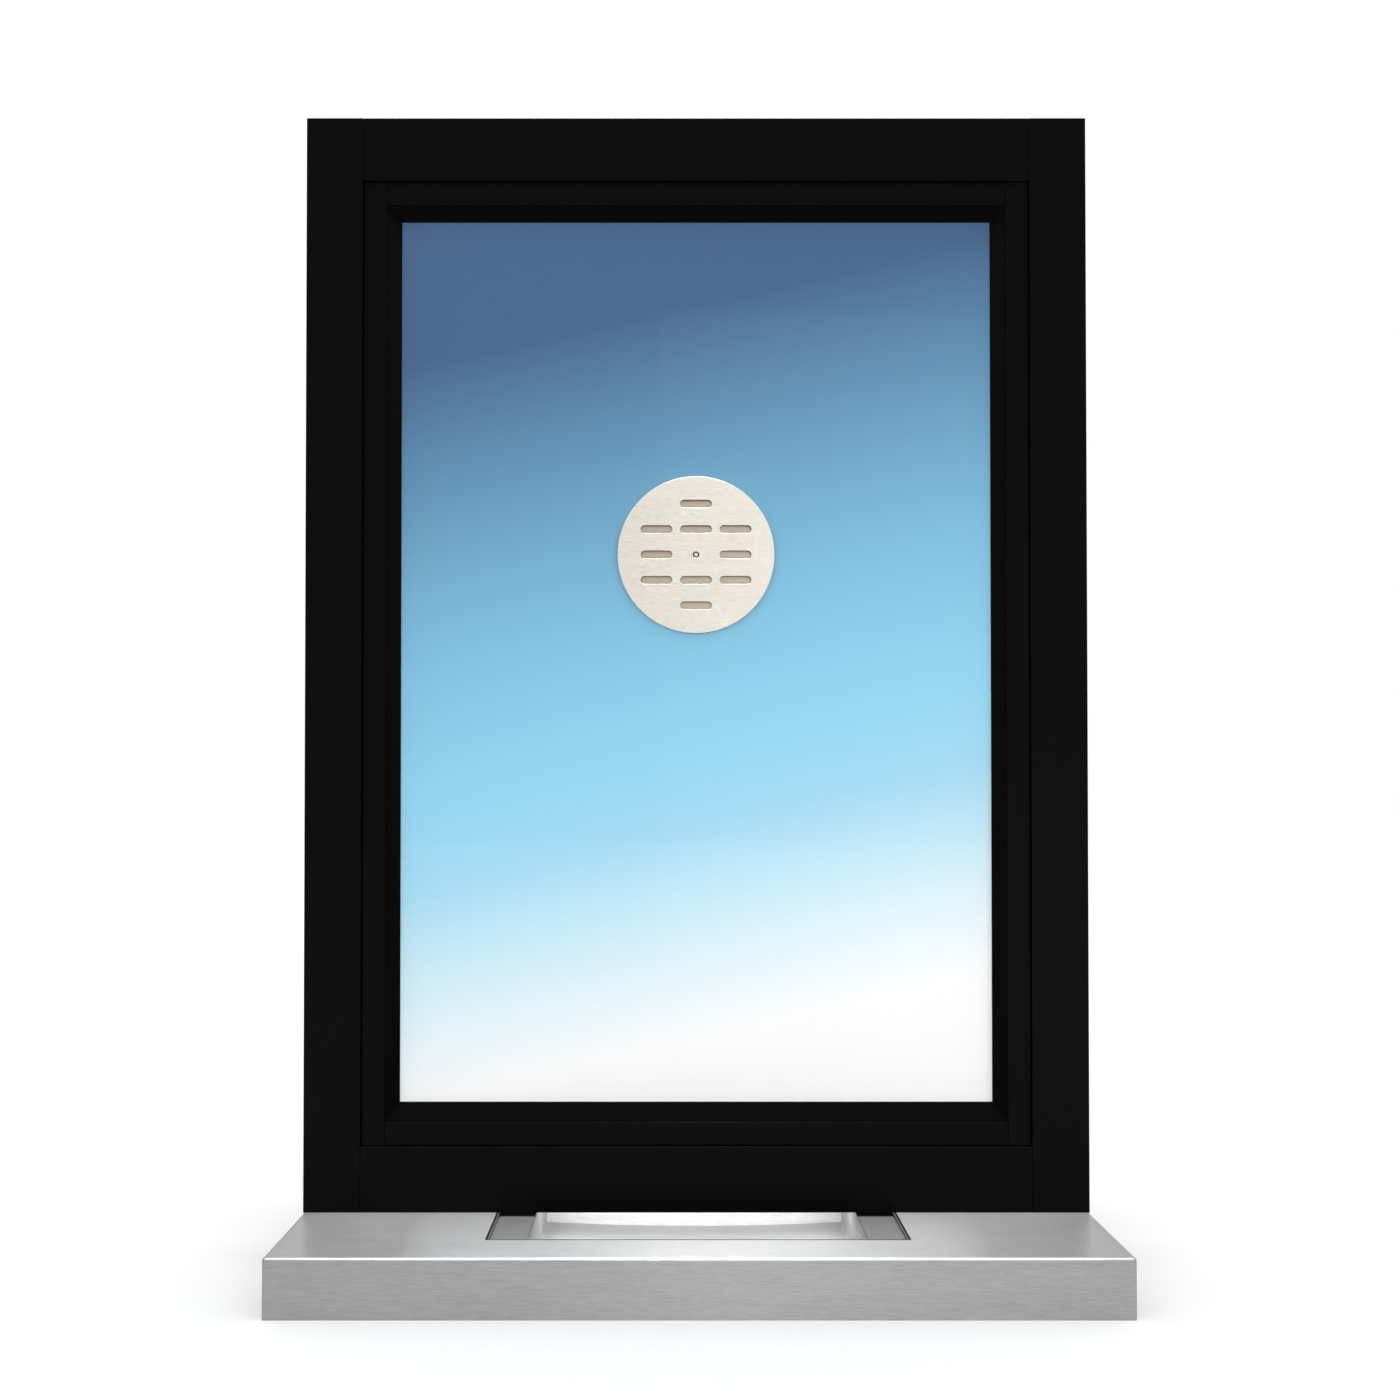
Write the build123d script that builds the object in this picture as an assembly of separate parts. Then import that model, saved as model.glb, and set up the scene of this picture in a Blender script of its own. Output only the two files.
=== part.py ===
from build123d import *
import os

# Ticket window: a fixed pane with a speak-through, in a dark aluminium frame that
# stands on a stainless counter shelf with a deal tray let into it.
# X runs along the counter, Y from the customer's side to the clerk's side, Z up.
# The origin is under the middle of the shelf, level with the bottom of its lips.
# A section is drawn as (reach inwards from the frame's edge, depth from its front).

# Frame
frame_width = 762.0
frame_height = 1067.0
frame_depth = 114.3
jamb_face = 55.0
head_face = 61.3
sill_face = 63.7
tube_wall = 3.0
web_wall = 2.5
web_depth = 55.0
arris_radius = 0.5
rail_joint = 0.4

# Screw splines in the rails, for the screws that close the corners
spline_radius = 4.4
spline_bore = 2.1
spline_mouth = 2.4
spline_depths = (30.0, 86.0)

# Anchor holes through each jamb, behind the stop
anchor_hole_radius = 3.5
anchor_driver_radius = 5.5
anchor_depth = 10.0
anchor_span = 700.0

# Glazing pocket
glass_thickness = 6.4
glass_setback = 16.0
glass_edge_gap = 6.0
inside_gasket_thickness = 4.0
leg_front_wall = 5.0
stop_face = 22.0
stop_joint = 0.8
stop_setback = 4.0
stop_wall = 2.0
stop_return = 6.0
stop_leg_length = 11.2
stop_leg_wall = 1.5
snap_reach = 0.8
snap_width = 1.9
snap_clearance = 0.4

# Rubber gaskets
gasket_lap = 13.4
sill_gasket_lap = 18.0
gasket_root = 14.0
gasket_rise = 2.5
gasket_lip = 0.8
inside_gasket_root = 11.0
inside_gasket_lap = 2.0
race_width = 3.0
race_depth = 2.2
race_clearance = 0.2
setting_block_length = 100.0
setting_block_inset = 160.0

# Speak-through
speaker_above_middle = 107.0
speaker_radius = 77.0
speaker_plate = 3.0
speaker_edge = 0.5
speaker_hole_radius = 65.0
grommet_radius = 75.0
grommet_lip = 1.5
grommet_wall = 3.0
sound_slot_length = 31.0
sound_slot_height = 8.0
sound_slot_pitch = 38.8
sound_row_pitch = 25.0
baffle_setback = 2.7
baffle_thickness = 1.5
fit_clearance = 0.3
post_radius = 2.2
post_hole_radius = 2.9
post_collar_radius = 4.5
post_flush = 0.3
spacer_radius = 4.0
nut_width = 8.0
nut_height = 4.0
post_tail = 1.5

# Counter shelf, one bent sheet
shelf_width = frame_width
shelf_depth = 457.0
lip_height = 54.0
shelf_sheet = 1.5
shelf_bend = 3.0
shelf_corner = 1.6
shelf_return = 12.0
cutout_width = 386.0
cutout_depth = 328.0

# Deal tray, let into the shelf under the sill
tray_gap = 1.0
tray_sheet = 1.2
tray_step = 4.0
tray_side_ledge = 34.8
tray_front_ledge = 14.0
tray_back_ledge = 58.8
tray_depth = 50.8
tray_sag = 4.3
tray_bend = 2.0
tray_fold = 1.0
tray_flange = 14.0

front = -frame_depth / 2
back = frame_depth / 2
base = lip_height
top = base + frame_height
middle = base + frame_height / 2
pocket = stop_joint + stop_face
leg_seat = glass_setback + glass_thickness + inside_gasket_thickness
snap_depth = stop_setback + stop_leg_length - snap_width - 1.0
speaker_level = middle + speaker_above_middle

left_side = Plane(origin=(-frame_width / 2, front, middle), x_dir=(1, 0, 0), z_dir=(0, 0, 1))
head_side = Plane(origin=(0, front, top), x_dir=(0, 0, -1), z_dir=(1, 0, 0))
sill_side = Plane(origin=(0, front, base), x_dir=(0, 0, 1), z_dir=(-1, 0, 0))
speaker_axis = Plane(origin=(0, front, speaker_level), x_dir=(1, 0, 0), z_dir=(0, 1, 0))


def block(x, y, z):
    """A box between the two ends given for each axis."""
    size = [abs(ends[1] - ends[0]) for ends in (x, y, z)]
    low = (min(x), min(y), min(z))
    return Pos(*low) * Box(*size, align=(Align.MIN, Align.MIN, Align.MIN))


def cell(reach, depth):
    """A rectangle in a section, between the two ends given for each direction."""
    centre = Pos((reach[0] + reach[1]) / 2, (depth[0] + depth[1]) / 2)
    return centre * Rectangle(reach[1] - reach[0], depth[1] - depth[0])


def run(side, section, length):
    """A straight length of a section, centred on its side of the frame."""
    return extrude(side * section, amount=length / 2, both=True)


def mirrored(solid):
    return mirror(solid, about=Plane.YZ)


# Frame members


def member_section(face):
    """Hollow section: a tube behind the face and a leg behind the glazing pocket."""
    outline = Polygon(
        (0, 0),
        (face, 0),
        (face, leg_seat),
        (face + pocket, leg_seat),
        (face + pocket, frame_depth),
        (0, frame_depth),
        align=None,
    )
    front_arrises = outline.vertices().group_by(Axis.Y)[0]
    section = fillet(front_arrises, arris_radius)
    tube = (tube_wall, face - tube_wall)
    section -= cell(tube, (tube_wall, web_depth))
    section -= cell(tube, (web_depth + web_wall, frame_depth - tube_wall))
    leg = (face, face + pocket - tube_wall)
    section -= cell(leg, (leg_seat + leg_front_wall, frame_depth - tube_wall))
    race = gasket_race(face)
    section -= cell(race, (leg_seat, leg_seat + race_depth))
    groove = (snap_depth - snap_clearance, snap_depth + snap_width + 2 * snap_clearance)
    section -= cell((face - snap_reach - snap_clearance, face), groove)
    return section


def gasket_race(face):
    """Where the inside gasket's stem goes into the leg."""
    centre = face + pocket - inside_gasket_root / 2
    return (centre - race_width / 2, centre + race_width / 2)


def spline_centre(face, depth):
    return (face - tube_wall - spline_radius + spline_bore / 4, depth)


def rail_section(face):
    """A member's section with the open screw splines along its inner wall."""
    section = member_section(face)
    for depth in spline_depths:
        centre = Pos(*spline_centre(face, depth))
        mouth = Pos(-spline_radius / 2, 0) * Rectangle(spline_radius, spline_mouth)
        section += centre * (Circle(spline_radius) - Circle(spline_bore) - mouth)
    return section


def cross_hole(radius, reach, depth, height):
    """A hole through one wall of the left jamb, square to its outer face."""
    length = tube_wall + 2 * arris_radius
    centre = -frame_width / 2 + reach + tube_wall / 2
    return Pos(centre, front + depth, height) * Rot(0, 90, 0) * Cylinder(radius, length)


def left_jamb():
    """Full-height jamb. Its leg stops where the rails run through."""
    jamb = run(left_side, member_section(jamb_face), frame_height)
    tube = block((-frame_width / 2, -frame_width / 2 + jamb_face), (front, back), (base, top))
    for room in rail_legs():
        jamb -= room - tube
    for height in (middle - anchor_span / 2, middle + anchor_span / 2):
        jamb -= cross_hole(anchor_hole_radius, 0, anchor_depth, height)
        jamb -= cross_hole(anchor_driver_radius, jamb_face - tube_wall, anchor_depth, height)
    return jamb


def rail(side, face):
    """Head or sill, cut square between the jambs."""
    length = frame_width - 2 * (jamb_face + rail_joint)
    return run(side, rail_section(face), length)


# Glazing stops


def stop_section(face):
    """Snap-in stop: a front wall, a return to the gasket and a leg with a barb."""
    outer = face + stop_joint
    inner = face + pocket
    leg = outer + stop_leg_wall
    barb = face - snap_reach
    front_face = stop_setback
    leg_end = stop_setback + stop_leg_length
    outline = Polygon(
        (outer, front_face),
        (inner, front_face),
        (inner, front_face + stop_return),
        (inner - stop_wall, front_face + stop_return),
        (inner - stop_wall, front_face + stop_wall),
        (leg, front_face + stop_wall),
        (leg, leg_end),
        (outer, leg_end),
        (barb, snap_depth + snap_width),
        (barb, snap_depth),
        (outer, snap_depth),
        align=None,
    )
    arrises = outline.vertices().filter_by(lambda v: abs(v.Y - front_face) < arris_radius)
    return fillet(arrises, arris_radius)


def left_stop():
    length = frame_height - head_face - sill_face - 2 * rail_joint
    centre = Pos(0, 0, (sill_face - head_face) / 2)
    return centre * run(left_side, stop_section(jamb_face), length)


def rail_stop(side, face):
    """Head or sill stop, between the two side stops."""
    length = frame_width - 2 * (jamb_face + pocket + rail_joint)
    return run(side, stop_section(face), length)


# Gaskets


def corners(reach, sill_extra=0.0):
    """Corners, clockwise from top left, of a rectangle this far inside the frame's faces."""
    x = frame_width / 2 - jamb_face - reach
    high = top - head_face - reach
    low = base + sill_face + reach + sill_extra
    return [(-x, high), (x, high), (x, low), (-x, low)]


def mitre(side_number, rings):
    """A prism through the frame that keeps one side of a mitred surround."""
    near = [ring[side_number - 1] for ring in rings]
    far = [ring[side_number] for ring in rings]
    outline = make_face(Plane.XZ * Polyline(*near, *reversed(far), close=True))
    return extrude(outline, amount=frame_depth, both=True)


def outside_gasket_section(face, lap):
    """Wedge from the stop's return down to the glass, with a root behind the stop."""
    edge = face + pocket
    stop_back = stop_setback + stop_return
    return Polygon(
        (edge - gasket_root, stop_back),
        (edge, stop_back),
        (edge, stop_setback + gasket_rise),
        (edge + lap, glass_setback - gasket_lip),
        (edge + lap, glass_setback),
        (edge - gasket_root, glass_setback),
        align=None,
    )


def inside_gasket_section(face):
    """Flat cushion between glass and leg, with a stem in the leg's race."""
    edge = face + pocket
    glass_back = glass_setback + glass_thickness
    cushion = Polygon(
        (edge - inside_gasket_root, glass_back),
        (edge + inside_gasket_lap, glass_back),
        (edge, leg_seat),
        (edge - inside_gasket_root, leg_seat),
        align=None,
    )
    race = gasket_race(face)
    stem = (race[0] + race_clearance, race[1] - race_clearance)
    return cushion + cell(stem, (leg_seat, leg_seat + race_depth - race_clearance))


def surround(name, section_for, rings):
    """Head, sill, left and right lengths of one gasket, mitred at the corners."""
    across = frame_width - 2 * jamb_face
    upright = frame_height
    head = run(head_side, section_for(head_face, "head"), across) & mitre(1, rings)
    sill = run(sill_side, section_for(sill_face, "sill"), across) & mitre(3, rings)
    left = run(left_side, section_for(jamb_face, "side"), upright) & mitre(0, rings)
    return {
        f"head_{name}": head,
        f"sill_{name}": sill,
        f"left_{name}": left,
        f"right_{name}": mirrored(left),
    }


def outside_gaskets():
    def section_for(face, place):
        lap = sill_gasket_lap if place == "sill" else gasket_lap
        return outside_gasket_section(face, lap)

    rings = [
        corners(pocket - gasket_root),
        corners(pocket),
        corners(pocket + gasket_lap, sill_gasket_lap - gasket_lap),
    ]
    return surround("outside_gasket", section_for, rings)


def inside_gaskets():
    rings = [corners(pocket - inside_gasket_root), corners(pocket + inside_gasket_lap)]
    gaskets = surround("inside_gasket", lambda face, place: inside_gasket_section(face), rings)
    for hand in ("left", "right"):
        gaskets[f"{hand}_inside_gasket"] -= rail_legs()
    return gaskets


def rail_legs():
    """The room that the rails' legs take at the corners, where the jambs' races end."""
    across = (-frame_width / 2, frame_width / 2)
    low = (base, base + sill_face + pocket + rail_joint)
    high = (top - head_face - pocket - rail_joint, top)
    return [block(across, (front + leg_seat, back), level) for level in (low, high)]


# Pane


def glass_pane():
    width = frame_width - 2 * (jamb_face + glass_edge_gap)
    low = base + sill_face + glass_edge_gap
    high = top - head_face - glass_edge_gap
    depth = (front + glass_setback, front + glass_setback + glass_thickness)
    pane = block((-width / 2, width / 2), depth, (low, high))
    return pane - disc(speaker_hole_radius, glass_setback, glass_thickness)


def setting_block(hand):
    """Rubber block under the pane's quarter point."""
    width = frame_width - 2 * (jamb_face + glass_edge_gap)
    x = hand * (width / 2 - setting_block_inset)
    half = setting_block_length / 2
    depth = (front + glass_setback, front + glass_setback + glass_thickness)
    level = (base + sill_face, base + sill_face + glass_edge_gap)
    return block((x - half, x + half), depth, level)


# Speak-through


def disc(radius, depth, thickness):
    """A round plate on the speak-through's axis, starting this deep in the frame."""
    plate = Cylinder(radius, thickness, align=(Align.CENTER, Align.CENTER, Align.MIN))
    return speaker_axis * Pos(0, 0, depth) * plate


def sound_slots(depth):
    """Rows of one, three, two, three and one slots, with the centre left whole."""
    places = [(column, row) for row in (-1, 1) for column in (-1, 0, 1)]
    slots = []
    for column, row in places + [(-1, 0), (1, 0), (0, -2), (0, 2)]:
        slot = extrude(SlotOverall(sound_slot_length, sound_slot_height), amount=speaker_plate)
        slots.append(speaker_axis * Pos(column * sound_slot_pitch, row * sound_row_pitch, depth) * slot)
    return slots


def baffle_slots(depth):
    """Long openings between the plates' rows, so that nothing passes straight through."""
    slots = []
    for row, columns in ((-1.5, 1), (-0.5, 3), (0.5, 3), (1.5, 1)):
        length = (columns - 1) * sound_slot_pitch + sound_slot_length
        slot = extrude(SlotOverall(length, sound_slot_height), amount=baffle_thickness)
        slots.append(speaker_axis * Pos(0, row * sound_row_pitch, depth) * slot)
    return slots


def speaker_depths():
    """Where each layer starts, counted back from the pane's two faces."""
    grommet = glass_setback - grommet_lip
    outer_plate = grommet - speaker_plate
    baffle = grommet + baffle_setback
    inner_plate = glass_setback + glass_thickness + grommet_lip
    return outer_plate, grommet, baffle, inner_plate


def sound_plate(depth):
    plate = disc(speaker_radius, depth, speaker_plate)
    for slot in sound_slots(depth):
        plate -= slot
    return plate - disc(post_hole_radius, depth, speaker_plate)


def bevelled(plate):
    """Breaks the rim of the plate's front."""
    rim = plate.edges().filter_by(lambda e: e.is_closed and e.radius > speaker_radius / 2)
    return chamfer(rim.sort_by(Axis.Y)[0], speaker_edge)


def speak_through():
    outer_plate, grommet, baffle, inner_plate = speaker_depths()
    groove_radius = speaker_hole_radius - fit_clearance
    grommet_bore = groove_radius - grommet_wall
    baffle_disc = disc(grommet_bore - fit_clearance, baffle, baffle_thickness)
    for slot in baffle_slots(baffle):
        baffle_disc -= slot
    spacer_start = baffle + baffle_thickness
    spacer_bore = post_radius + fit_clearance
    post_end = inner_plate + speaker_plate + nut_height + post_tail
    post_start = outer_plate + post_flush
    nut = extrude(RegularPolygon(nut_width / 2, 6, major_radius=False), amount=nut_height)
    nut_place = speaker_axis * Pos(0, 0, inner_plate + speaker_plate)

    def ring(radius, bore, depth, thickness):
        return disc(radius, depth, thickness) - disc(bore, depth, thickness)

    return {
        "speaker_outer_plate": bevelled(sound_plate(outer_plate)),
        "speaker_grommet": ring(grommet_radius, grommet_bore, grommet, inner_plate - grommet)
        - ring(grommet_radius, groove_radius, glass_setback, glass_thickness),
        "speaker_baffle": baffle_disc - disc(spacer_bore, baffle, baffle_thickness),
        "speaker_spacer": ring(spacer_radius, spacer_bore, spacer_start, inner_plate - spacer_start),
        "speaker_inner_plate": sound_plate(inner_plate),
        "speaker_post": disc(post_radius, post_start, post_end - post_start)
        + disc(post_collar_radius, grommet, baffle_setback),
        "speaker_nut": nut_place * nut - disc(spacer_bore, inner_plate + speaker_plate, nut_height),
    }


# Counter shelf


def counter_shelf():
    """One sheet bent down on four sides, welded at the corners, returned at the bottom."""
    outer = block(
        (-shelf_width / 2, shelf_width / 2), (-shelf_depth / 2, shelf_depth / 2), (0, lip_height)
    )
    outer = fillet(outer.edges().filter_by(Axis.Z), shelf_corner)
    outer = fillet(outer.faces().sort_by(Axis.Z)[-1].edges(), shelf_bend)
    half_width = shelf_width / 2 - shelf_sheet
    half_depth = shelf_depth / 2 - shelf_sheet
    hollow = block(
        (-half_width, half_width), (-half_depth, half_depth), (shelf_sheet, lip_height - shelf_sheet)
    )
    hollow = fillet(hollow.faces().sort_by(Axis.Z)[-1].edges(), shelf_bend - shelf_sheet)
    half_width = shelf_width / 2 - shelf_return
    half_depth = shelf_depth / 2 - shelf_return
    mouth = block((-half_width, half_width), (-half_depth, half_depth), (0, shelf_sheet))
    cutout = block(
        (-cutout_width / 2, cutout_width / 2),
        (-cutout_depth / 2, cutout_depth / 2),
        (lip_height - shelf_sheet, lip_height),
    )
    return outer - hollow - mouth - cutout


# Deal tray


def trough(extra):
    """The trough's hollow with a floor that sags along the counter, or its outside."""
    half = cutout_width / 2 - tray_gap - tray_sheet - tray_side_ledge + extra
    recess_end = cutout_depth / 2 - tray_gap - tray_sheet
    front_end = tray_front_ledge - recess_end - extra
    back_end = recess_end - tray_back_ledge + extra
    floor = lip_height - tray_depth - extra
    rim = lip_height - tray_step
    profile = make_face(
        Plane.XZ
        * (
            Polyline((-half, floor + tray_sag), (-half, rim), (half, rim), (half, floor + tray_sag))
            + ThreePointArc((half, floor + tray_sag), (0, floor), (-half, floor + tray_sag))
        )
    )
    body = extrude(profile, amount=(back_end - front_end) / 2, both=True)
    body = Pos(0, (front_end + back_end) / 2, 0) * body
    # The floor and the two end walls are one bent strip, and the long walls are welded on square
    bends = body.edges().filter_by(Axis.Y).group_by(Axis.Z)[0]
    return fillet(bends, tray_bend + extra)


def deal_tray():
    """Shallow recess level with the shelf, a trough below it and a flange under the sheet."""
    half_width = cutout_width / 2 - tray_gap
    half_depth = cutout_depth / 2 - tray_gap
    ledge = lip_height - tray_step
    recess = block((-half_width, half_width), (-half_depth, half_depth), (ledge - tray_sheet, lip_height))
    inner_width = half_width - tray_sheet
    inner_depth = half_depth - tray_sheet
    hollow = block((-inner_width, inner_width), (-inner_depth, inner_depth), (ledge, lip_height))
    under_sheet = lip_height - shelf_sheet
    flange_width = half_width + tray_gap + tray_flange
    flange_depth = half_depth + tray_gap + tray_flange
    flange = block(
        (-flange_width, flange_width),
        (-flange_depth, flange_depth),
        (under_sheet - tray_sheet, under_sheet),
    )
    tray = recess + flange + trough(tray_sheet) - hollow - trough(0)
    fold = tray.edges().filter_by(lambda e: is_fold(e, ledge))
    return fillet(fold, tray_fold)


def is_fold(edge, ledge):
    """Is this an edge where the ledge turns down into the trough?"""
    inside = abs(edge.center().X) < cutout_width / 2 - tray_gap - tray_sheet - 0.1
    inside = inside and abs(edge.center().Y) < cutout_depth / 2 - tray_gap - tray_sheet - 0.1
    return inside and abs(edge.center().Z - ledge) < 0.01


nodes = {
    "left_jamb": left_jamb(),
    "right_jamb": mirrored(left_jamb()),
    "head_rail": rail(head_side, head_face),
    "sill_rail": rail(sill_side, sill_face),
    "left_stop": left_stop(),
    "right_stop": mirrored(left_stop()),
    "head_stop": rail_stop(head_side, head_face),
    "sill_stop": rail_stop(sill_side, sill_face),
    "glass_pane": glass_pane(),
    "left_setting_block": setting_block(-1),
    "right_setting_block": setting_block(1),
    "counter_shelf": counter_shelf(),
    "deal_tray": deal_tray(),
}
nodes.update(outside_gaskets())
nodes.update(inside_gaskets())
nodes.update(speak_through())

os.makedirs("parts", exist_ok=True)
for name, shape in nodes.items():
    export_step(shape, f"parts/{name}.step")
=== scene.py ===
import math
import bpy
import bmesh
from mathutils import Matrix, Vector


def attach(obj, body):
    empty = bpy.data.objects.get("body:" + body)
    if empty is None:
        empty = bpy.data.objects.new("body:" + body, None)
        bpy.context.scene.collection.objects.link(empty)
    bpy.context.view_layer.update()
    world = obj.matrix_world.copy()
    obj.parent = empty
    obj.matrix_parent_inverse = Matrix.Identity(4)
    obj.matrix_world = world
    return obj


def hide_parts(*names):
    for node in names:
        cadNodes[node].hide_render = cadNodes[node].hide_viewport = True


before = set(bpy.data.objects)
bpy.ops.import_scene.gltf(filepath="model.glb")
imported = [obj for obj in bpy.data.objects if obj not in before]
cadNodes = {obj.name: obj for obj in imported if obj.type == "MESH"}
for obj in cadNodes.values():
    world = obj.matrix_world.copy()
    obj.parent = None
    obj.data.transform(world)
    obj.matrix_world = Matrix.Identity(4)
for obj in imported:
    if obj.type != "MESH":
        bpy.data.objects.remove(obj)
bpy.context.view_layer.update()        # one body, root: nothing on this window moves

scene = bpy.context.scene
scene.view_settings.view_transform = "Standard"
print("frame loaded:", len(cadNodes), "nodes")


# camera, low in front of the window and all but level
eye = {
    "place": (-0.0255, -1.757, 0.4456),
    "tilt": 1.0,               # degrees up
    "lens": 44.95,
    "sensor": 36.0,
    "shift": (0.0214, 0.0555),
    "nearest": 0.01,
}


def setCamera():
    lens = bpy.data.cameras.new("eye")
    lens.sensor_width = eye["sensor"]
    lens.lens = eye["lens"]
    lens.shift_x, lens.shift_y = eye["shift"]
    lens.clip_start = eye["nearest"]
    camera = bpy.data.objects.new("eye", lens)
    camera.location = eye["place"]
    camera.rotation_euler = (math.radians(90 + eye["tilt"]), 0, 0)
    scene.collection.objects.link(camera)
    scene.camera = camera


# node helpers
mixSockets = {"FLOAT": (2, 3, 0), "VECTOR": (4, 5, 1), "RGBA": (6, 7, 2)}   # A, B and result of a Mix node


def addNode(tree, kind, **settings):
    node = tree.nodes.new(kind)
    for key, value in settings.items():
        setattr(node, key, value)
    return node


def feed(tree, socket, value):
    # a value may be another node's output or a fixed number, vector or colour
    if isinstance(value, bpy.types.NodeSocket):
        tree.links.new(value, socket)
    else:
        socket.default_value = value


def compute(tree, operation, *values):
    node = addNode(tree, "ShaderNodeMath", operation=operation)
    for socket, value in zip(node.inputs, values):
        feed(tree, socket, value)
    return node.outputs[0]


def computeVector(tree, operation, *values):
    node = addNode(tree, "ShaderNodeVectorMath", operation=operation)
    for socket, value in zip(node.inputs, values):
        feed(tree, socket, value)
    return node.outputs["Value" if operation in ("DOT_PRODUCT", "LENGTH") else "Vector"]


def mix(tree, kind, factor, first, second, **settings):
    node = addNode(tree, "ShaderNodeMix", data_type=kind, **settings)
    a, b, result = mixSockets[kind]
    feed(tree, node.inputs[0], factor)
    feed(tree, node.inputs[a], first)
    feed(tree, node.inputs[b], second)
    return node.outputs[result]


def mapRange(tree, value, spread, onto=(0.0, 1.0)):
    node = addNode(tree, "ShaderNodeMapRange")
    feed(tree, node.inputs["Value"], value)
    node.inputs["From Min"].default_value, node.inputs["From Max"].default_value = spread
    node.inputs["To Min"].default_value, node.inputs["To Max"].default_value = onto
    return node.outputs["Result"]


def noise(tree, vector, scale=1.0, detail=2.0):
    node = addNode(tree, "ShaderNodeTexNoise")
    feed(tree, node.inputs["Vector"], vector)
    node.inputs["Scale"].default_value = scale
    node.inputs["Detail"].default_value = detail
    return node.outputs["Fac"]


def stretched(tree, scale):
    # object coordinates, scaled along each axis
    node = addNode(tree, "ShaderNodeMapping")
    feed(tree, node.inputs["Vector"], objectPlace(tree))
    node.inputs["Scale"].default_value = scale
    return node.outputs[0]


def objectPlace(tree):
    return addNode(tree, "ShaderNodeTexCoord").outputs["Object"]


def faceNormal(tree):
    return addNode(tree, "ShaderNodeNewGeometry").outputs["True Normal"]


def split(tree, vector):
    node = addNode(tree, "ShaderNodeSeparateXYZ")
    feed(tree, node.inputs[0], vector)
    return node.outputs


def addBump(tree, shader, height, strength, depth):
    node = addNode(tree, "ShaderNodeBump")
    feed(tree, node.inputs["Height"], height)
    node.inputs["Strength"].default_value = strength
    node.inputs["Distance"].default_value = depth
    feed(tree, shader.inputs["Normal"], node.outputs["Normal"])


def startMaterial(name):
    made = bpy.data.materials.new(name)
    made.use_nodes = True
    return made, made.node_tree, made.node_tree.nodes["Principled BSDF"]


# studio: a white sweep, an even sky, and soft lights whose places shape the steel's reflections
studio = {
    "floorSize": 40.0,
    "floorColour": (0.98, 0.98, 0.98, 1),
    "floorRoughness": 0.9,
    "floorSpecular": 0.1,
    "skyOnFloor": 1.18,
    "skyInGloss": 0.54,
    "backdrop": 1.0,
}
studioLights = [
    # name, place, aims at, size x and y, watts, lights matt surfaces too
    ("overheadStrip", (0.09, -0.4, 2.3), (0.09, -0.3, 0.0), (0.48, 1.6), 24.0, False),
    ("overheadWash", (0.04, -1.25, 3.3), (0.04, -0.3, 0.0), (2.3, 1.5), 105.0, False),
    ("overheadWide", (0.15, -0.35, 2.5), (0.15, -0.3, 0.0), (4.0, 0.9), 58.0, False),
    ("frontPanel", (0.95, -2.9, 0.9), (0.95, 0.0, 0.9), (2.0, 1.7), 3.7, True),
    ("underSill", (0.0, 0.03, 0.0525), (0.0, 0.031, 0.0), (0.3, 0.05), 0.33, False),
]


def layFloor():
    bpy.ops.mesh.primitive_plane_add(size=studio["floorSize"])
    floor = bpy.context.object
    floor.name = "studioFloor"
    paint, tree, shader = startMaterial("studioWhite")
    shader.inputs["Base Color"].default_value = studio["floorColour"]
    shader.inputs["Roughness"].default_value = studio["floorRoughness"]
    shader.inputs["Specular IOR Level"].default_value = studio["floorSpecular"]
    floor.data.materials.append(paint)


def hangSky():
    # plain white behind the window and through its pane, dimmer where metal mirrors it
    world = bpy.data.worlds.new("studioSky")
    scene.world = world
    world.use_nodes = True
    tree = world.node_tree
    tree.nodes.clear()
    ray = addNode(tree, "ShaderNodeLightPath").outputs
    seen = compute(tree, "MAXIMUM", ray["Is Camera Ray"], ray["Is Transmission Ray"])
    level = mix(tree, "FLOAT", ray["Is Glossy Ray"], studio["skyOnFloor"], studio["skyInGloss"])
    sky = addNode(tree, "ShaderNodeBackground")
    sky.inputs["Color"].default_value = (1, 1, 1, 1)
    feed(tree, sky.inputs["Strength"], mix(tree, "FLOAT", seen, level, studio["backdrop"]))
    out = addNode(tree, "ShaderNodeOutputWorld")
    feed(tree, out.inputs["Surface"], sky.outputs[0])


def hangLights():
    for name, place, aim, size, watts, onMatt in studioLights:
        light = bpy.data.lights.new(name, "AREA")
        light.shape = "RECTANGLE"
        light.size, light.size_y = size
        light.energy = watts
        lamp = bpy.data.objects.new(name, light)
        lamp.location = place
        lamp.rotation_euler = (Vector(aim) - Vector(place)).to_track_quat("-Z", "Y").to_euler()
        lamp.visible_camera = False
        lamp.visible_diffuse = onMatt
        lamp.visible_transmission = False
        scene.collection.objects.link(lamp)


setCamera()
layFloor()
hangSky()
hangLights()
print("camera and studio set")


# painted shade in the gap between the shelf's cut-out and the tray let into it
seam = {
    "half": (0.1925, 0.1635),   # of the cut-out, across and front to back
    "gap": 0.002,
    "floor": 0.0522,
    # the painted shade's colour, also used for the ring on the post's end
    "colour": (0.012, 0.011, 0.01, 1),
}


def seamPaintedShade(tree, unshadedColour):
    place = split(tree, objectPlace(tree))
    past = [compute(tree, "SUBTRACT", compute(tree, "ABSOLUTE", place[axis]), half)
            for axis, half in zip("XY", seam["half"])]
    inGap = compute(tree, "COMPARE", compute(tree, "MAXIMUM", *past), 0.0, seam["gap"] / 2)
    high = compute(tree, "GREATER_THAN", place["Z"], seam["floor"])
    return mix(tree, "RGBA", compute(tree, "MULTIPLY", inGap, high), unshadedColour, seam["colour"])
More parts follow.
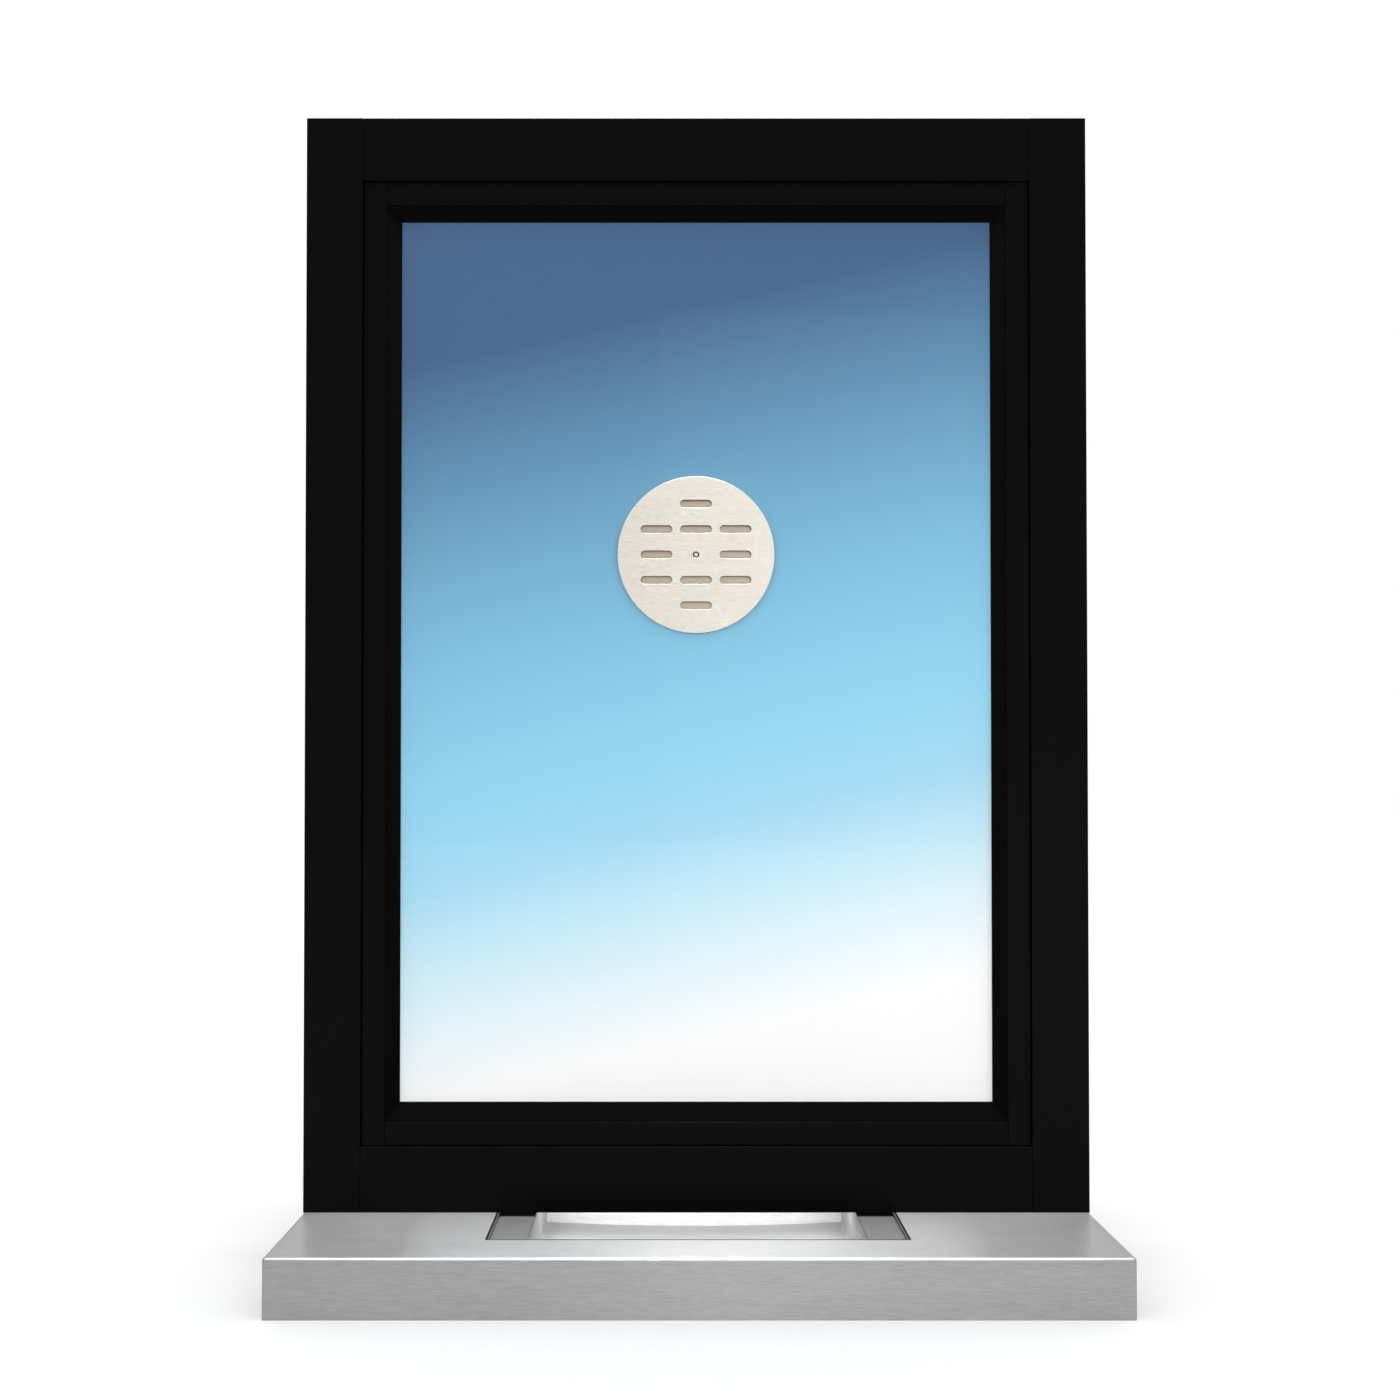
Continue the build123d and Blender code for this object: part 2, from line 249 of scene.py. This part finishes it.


# painted light and shade on the tray's inside: its ledges are painted darker than its trough, and faces turned
# towards the customer are painted brightest, as the light on its back wall
trayPaintedLight = {
    "ledgeAbove": 0.0494,
    "ledge": (0.22, 0.22, 0.218, 1),
    "litWall": (0.9, 0.9, 0.895, 1),
    "facing": (-0.05, -0.6),    # the Y of a face's normal, from the sheet's tone to the wall's
}


def paintTrayLight(tree, sheetColour):
    toCustomer = mapRange(tree, split(tree, faceNormal(tree))["Y"], trayPaintedLight["facing"])
    onLedge = compute(tree, "GREATER_THAN", split(tree, objectPlace(tree))["Z"], trayPaintedLight["ledgeAbove"])
    # painted shade on the ledges
    sheet = mix(tree, "RGBA", onLedge, sheetColour, trayPaintedLight["ledge"])
    # painted highlight on faces turned towards the customer
    return mix(tree, "RGBA", toCustomer, sheet, trayPaintedLight["litWall"])


# painted shade on the post's end: a dark ring round its axis, standing in for the shaded gap round the post
socket = {"height": 0.6945, "radius": 0.0024, "width": 0.0012}


def paintedSocketRing(tree, sheetColour):
    centred = computeVector(tree, "SUBTRACT", objectPlace(tree), (0, 0, socket["height"]))
    reach = computeVector(tree, "LENGTH", computeVector(tree, "MULTIPLY", centred, (1, 0, 1)))
    onRing = compute(tree, "COMPARE", reach, socket["radius"], socket["width"] / 2)
    return mix(tree, "RGBA", onRing, sheetColour, seam["colour"])


# brushed stainless steel
steelLook = {
    "colour": (0.37, 0.37, 0.368, 1),
    "streak": 0.0008,           # pitch across the grain, m
    "streakLength": 0.014,
    "roughness": (0.285, 0.315),
    "anisotropy": 1.0,
    "bump": 0.03,
}
trayLook = {**steelLook, "colour": (0.38, 0.38, 0.378, 1), "roughness": (0.54, 0.6), "anisotropy": 0.4}
plateLook = {
    "colour": (0.81, 0.77, 0.685, 1),
    "streak": 0.0008,
    "streakLength": 0.008,
    "roughness": (0.27, 0.34),
    "anisotropy": 0.5,
    "bump": 0.03,
}
# the baffle: the plate's steel painted darker, as painted shade behind the slots
baffleShadedLook = {**plateLook, "colour": (0.66, 0.57, 0.45, 1)}
brushing = {
    "endOn": 0.7,               # faces turned further than this along the grain are met end on
    "coarse": 0.17,             # scale and share of the broad streaks among the fine
    "coarseShare": 0.2,
    "spread": (0.3, 0.7),       # the noise's usual low and high
    "tone": (0.88, 1.1),
    "depth": 0.0002,
}


def grainVector(tree, look, along, onEnds):
    # the pattern's coordinates run with the grain, which turns to the second direction on faces it meets end on
    normal = faceNormal(tree)
    turned = compute(tree, "ABSOLUTE", computeVector(tree, "DOT_PRODUCT", normal, along))
    endOn = compute(tree, "GREATER_THAN", turned, brushing["endOn"])
    fine, long = 1 / look["streak"], 1 / look["streakLength"]
    patterns = [stretched(tree, [long if part else fine for part in way]) for way in (along, onEnds)]
    grain = mix(tree, "VECTOR", endOn, along, onEnds)
    tangent = computeVector(tree, "CROSS_PRODUCT", grain, normal)   # highlights spread across the grain
    return mix(tree, "VECTOR", endOn, *patterns), tangent


def brushedMetal(name, look, shade=None, along=(1, 0, 0), onEnds=(0, 0, 1)):
    made, tree, shader = startMaterial(name)
    vector, tangent = grainVector(tree, look, along, onEnds)
    fine = noise(tree, vector, detail=3.0)
    coarse = noise(tree, vector, scale=brushing["coarse"])
    streaks = mix(tree, "FLOAT", brushing["coarseShare"], fine, coarse)
    sheet = shade(tree, look["colour"]) if shade else look["colour"]
    tone = mapRange(tree, streaks, brushing["spread"], brushing["tone"])
    colour = mix(tree, "RGBA", 1.0, sheet, tone, blend_type="MULTIPLY")
    # painted shade darkens the gap round the tray
    feed(tree, shader.inputs["Base Color"], seamPaintedShade(tree, colour))
    feed(tree, shader.inputs["Roughness"], mapRange(tree, streaks, brushing["spread"], look["roughness"]))
    feed(tree, shader.inputs["Tangent"], tangent)
    addBump(tree, shader, streaks, look["bump"], brushing["depth"])
    shader.inputs["Metallic"].default_value = 1.0
    shader.inputs["Anisotropic"].default_value = look["anisotropy"]
    return made


# extruded aluminium: faint die lines down its length under a satin black coat
anodisedLook = {
    "colour": (0.0028, 0.0028, 0.0029, 1),
    "specular": 0.035,
    "roughness": (0.2, 0.26),
    "drawn": 0.0012,            # pitch of the die lines, m
    "lineScale": 3.0,
    "cloud": 9.0,
    "cloudShare": 0.4,
    "spread": (0.3, 0.7),
    "bump": 0.05,
    "depth": 0.0002,
}


def anodised(name, along):
    made, tree, shader = startMaterial(name)
    look = anodisedLook
    lines = noise(tree, stretched(tree, [look["lineScale"] if part else 1 / look["drawn"] for part in along]))
    cloud = noise(tree, objectPlace(tree), scale=look["cloud"])
    both = mix(tree, "FLOAT", look["cloudShare"], lines, cloud)
    feed(tree, shader.inputs["Roughness"], mapRange(tree, both, look["spread"], look["roughness"]))
    addBump(tree, shader, lines, look["bump"], look["depth"])
    shader.inputs["Base Color"].default_value = look["colour"]
    shader.inputs["Specular IOR Level"].default_value = look["specular"]
    return made


# the walls of a cut, streaked through the thickness and painted near-black: partly the laser's scale, partly
# painted shade inside the slots
cutLook = {
    "dark": (0.003, 0.003, 0.003, 1),
    "light": (0.03, 0.026, 0.023, 1),
    "streaks": (2200, 250, 2200),
    "bump": 0.3,
    "depth": 0.0001,
    "metallic": 0.3,
    "roughness": 0.5,
}


def cutSteel():
    made, tree, shader = startMaterial("cutSteel")
    lines = noise(tree, stretched(tree, cutLook["streaks"]))
    feed(tree, shader.inputs["Base Color"], mix(tree, "RGBA", lines, cutLook["dark"], cutLook["light"]))
    addBump(tree, shader, lines, cutLook["bump"], cutLook["depth"])
    shader.inputs["Metallic"].default_value = cutLook["metallic"]
    shader.inputs["Roughness"].default_value = cutLook["roughness"]
    return made


# gasket rubber
rubberLook = {
    "colour": (0.002, 0.002, 0.002, 1),
    "roughness": (0.62, 0.82),
    "specular": 0.02,
    "speckle": 900.0,
    "bump": 0.12,
    "depth": 0.0002,
}


def rubber():
    made, tree, shader = startMaterial("gasketRubber")
    speckle = noise(tree, objectPlace(tree), scale=rubberLook["speckle"])
    feed(tree, shader.inputs["Roughness"], mapRange(tree, speckle, (0.0, 1.0), rubberLook["roughness"]))
    addBump(tree, shader, speckle, rubberLook["bump"], rubberLook["depth"])
    shader.inputs["Base Color"].default_value = rubberLook["colour"]
    shader.inputs["Specular IOR Level"].default_value = rubberLook["specular"]
    return made


# the pane: blue at the top, paling to white towards the sill along a slant
paneLook = {
    "slant": (0.226, 0.0, -1.0),   # the tint's fall, per metre of the pane
    "span": (-0.946, -0.223),      # where along it the tint begins and ends
    "clear": (0.2, 0.3),           # share of light let straight through, at the top and at the sill
    "roughness": 0.0,
    "bend": 1.3,
    "stops": [
        (0.0, (0.07, 0.141, 0.275, 1)),
        (0.17, (0.127, 0.3, 0.475, 1)),
        (0.42, (0.24, 0.555, 0.765, 1)),
        (0.6, (0.32, 0.69, 0.875, 1)),
        (0.72, (0.405, 0.735, 0.895, 1)),
        (0.85, (0.67, 0.87, 0.955, 1)),
        (1.0, (1.0, 1.0, 1.0, 1)),
    ],
}


def tintedPane():
    made, tree, shader = startMaterial("tintedPane")
    fall = computeVector(tree, "DOT_PRODUCT", objectPlace(tree), paneLook["slant"])
    share = mapRange(tree, fall, paneLook["span"])
    ramp = addNode(tree, "ShaderNodeValToRGB")
    points = ramp.color_ramp.elements
    stops = paneLook["stops"]
    points[0].position, points[0].color = stops[0]
    points[1].position, points[1].color = stops[-1]
    for position, colour in stops[1:-1]:
        points.new(position).color = colour
    feed(tree, ramp.inputs["Fac"], share)
    feed(tree, shader.inputs["Base Color"], ramp.outputs["Color"])
    feed(tree, shader.inputs["Transmission Weight"], mapRange(tree, share, (0.0, 1.0), paneLook["clear"]))
    shader.inputs["Roughness"].default_value = paneLook["roughness"]
    shader.inputs["IOR"].default_value = paneLook["bend"]
    return made


def dress(material, *names):
    for name in names:
        for slot in cadNodes[name].material_slots:
            slot.link = "OBJECT"
            slot.material = material


plateSteel = brushedMetal("plateSteel", plateLook)
rubberNodes = [name for name in cadNodes if name.endswith(("gasket", "block", "grommet"))]
dress(anodised("darkAnodisedUpright", (0, 0, 1)), "left_jamb", "right_jamb", "left_stop", "right_stop")
dress(anodised("darkAnodisedAcross", (1, 0, 0)), "head_rail", "sill_rail", "head_stop", "sill_stop")
dress(rubber(), *rubberNodes)
dress(tintedPane(), "glass_pane")
dress(brushedMetal("baffleSteel", baffleShadedLook), "speaker_baffle")
dress(plateSteel, "speaker_inner_plate", "speaker_spacer", "speaker_nut")
dress(brushedMetal("postSteel", plateLook, paintedSocketRing), "speaker_post")
dress(brushedMetal("shelfSteel", steelLook), "counter_shelf")
dress(brushedMetal("traySteel", trayLook, paintTrayLight, onEnds=(0, 1, 0)), "deal_tray")
print("materials on")


# speak-through's front plate: laser-cut, so its slots have softly broken edges, and walls painted dark, partly
# laser scale and partly painted shade
faceCut = {
    "radius": 0.077,
    "thick": 0.003,
    "middle": (0.0, -0.04415, 0.6945),
    "slot": (0.031, 0.008),
    "pitch": (0.0388, 0.025),
    "slotPlaces": [(-1, -1), (0, -1), (1, -1), (-1, 1), (0, 1), (1, 1), (-1, 0), (1, 0), (0, -2), (0, 2)],
    "postHole": 0.0031,
    "edge": 0.00015,
    "edgeSteps": 2,
    "sharpFrom": 50,            # degrees, for the edges to break
    "smoothTo": 20,
    "sides": {"plate": 160, "slot": 30, "post": 32},
}


def roundBar(radius, length, place, sides):
    bpy.ops.object.select_all(action="DESELECT")
    bpy.ops.mesh.primitive_cylinder_add(vertices=sides, radius=radius, depth=length,
                                        location=place, rotation=(math.pi / 2, 0, 0))
    bar = bpy.context.object
    bpy.ops.object.transform_apply(location=False, rotation=True, scale=False)
    return bar


def slotCutter(place, depth):
    # a round bar whose two halves are drawn apart to the slot's length
    length, height = faceCut["slot"]
    bar = roundBar(height / 2, depth, place, faceCut["sides"]["slot"])
    bpy.ops.object.mode_set(mode="EDIT")
    mesh = bmesh.from_edit_mesh(bar.data)
    for side in (-1, 1):
        for vertex in mesh.verts:
            vertex.select_set(vertex.co.x * side > 0 and abs(vertex.co.x) < height)
        mesh.select_flush_mode()
        bmesh.update_edit_mesh(bar.data)
        bpy.ops.transform.translate(value=(side * (length - height) / 2, 0, 0))
        mesh = bmesh.from_edit_mesh(bar.data)
    bpy.ops.object.mode_set(mode="OBJECT")
    return bar


def makeCutters():
    x, y, z = faceCut["middle"]
    across, down = faceCut["pitch"]
    depth = 3 * faceCut["thick"]
    cutters = [slotCutter((x + column * across, y, z + row * down), depth)
               for column, row in faceCut["slotPlaces"]]
    cutters.append(roundBar(faceCut["postHole"], depth, faceCut["middle"], faceCut["sides"]["post"]))
    bpy.ops.object.select_all(action="DESELECT")
    for cutter in cutters:
        cutter.select_set(True)
    bpy.context.view_layer.objects.active = cutters[0]
    bpy.ops.object.join()
    cutters[0].data.materials.append(cutSteel())
    return cutters[0]


def makeSpeakerFace():
    face = roundBar(faceCut["radius"], faceCut["thick"], faceCut["middle"], faceCut["sides"]["plate"])
    face.name = "speakerFace"
    face.data.materials.append(plateSteel)
    cutter = makeCutters()
    bpy.ops.object.select_all(action="DESELECT")
    face.select_set(True)
    bpy.context.view_layer.objects.active = face
    cut = face.modifiers.new("slots", "BOOLEAN")
    cut.operation = "DIFFERENCE"
    cut.solver = "EXACT"
    cut.material_mode = "TRANSFER"
    cut.object = cutter
    bpy.ops.object.modifier_apply(modifier="slots")
    bpy.data.objects.remove(cutter)
    soften = face.modifiers.new("brokenEdges", "BEVEL")
    soften.width = faceCut["edge"]
    soften.segments = faceCut["edgeSteps"]
    soften.limit_method = "ANGLE"
    soften.angle_limit = math.radians(faceCut["sharpFrom"])
    bpy.ops.object.modifier_apply(modifier="brokenEdges")
    bpy.ops.object.transform_apply(location=True, rotation=True, scale=True)
    bpy.ops.object.shade_smooth_by_angle(angle=math.radians(faceCut["smoothTo"]))
    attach(face, "root")
    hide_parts("speaker_outer_plate")
    return face


speakerFace = makeSpeakerFace()
print("speaker face cut:", len(speakerFace.data.polygons), "polygons")
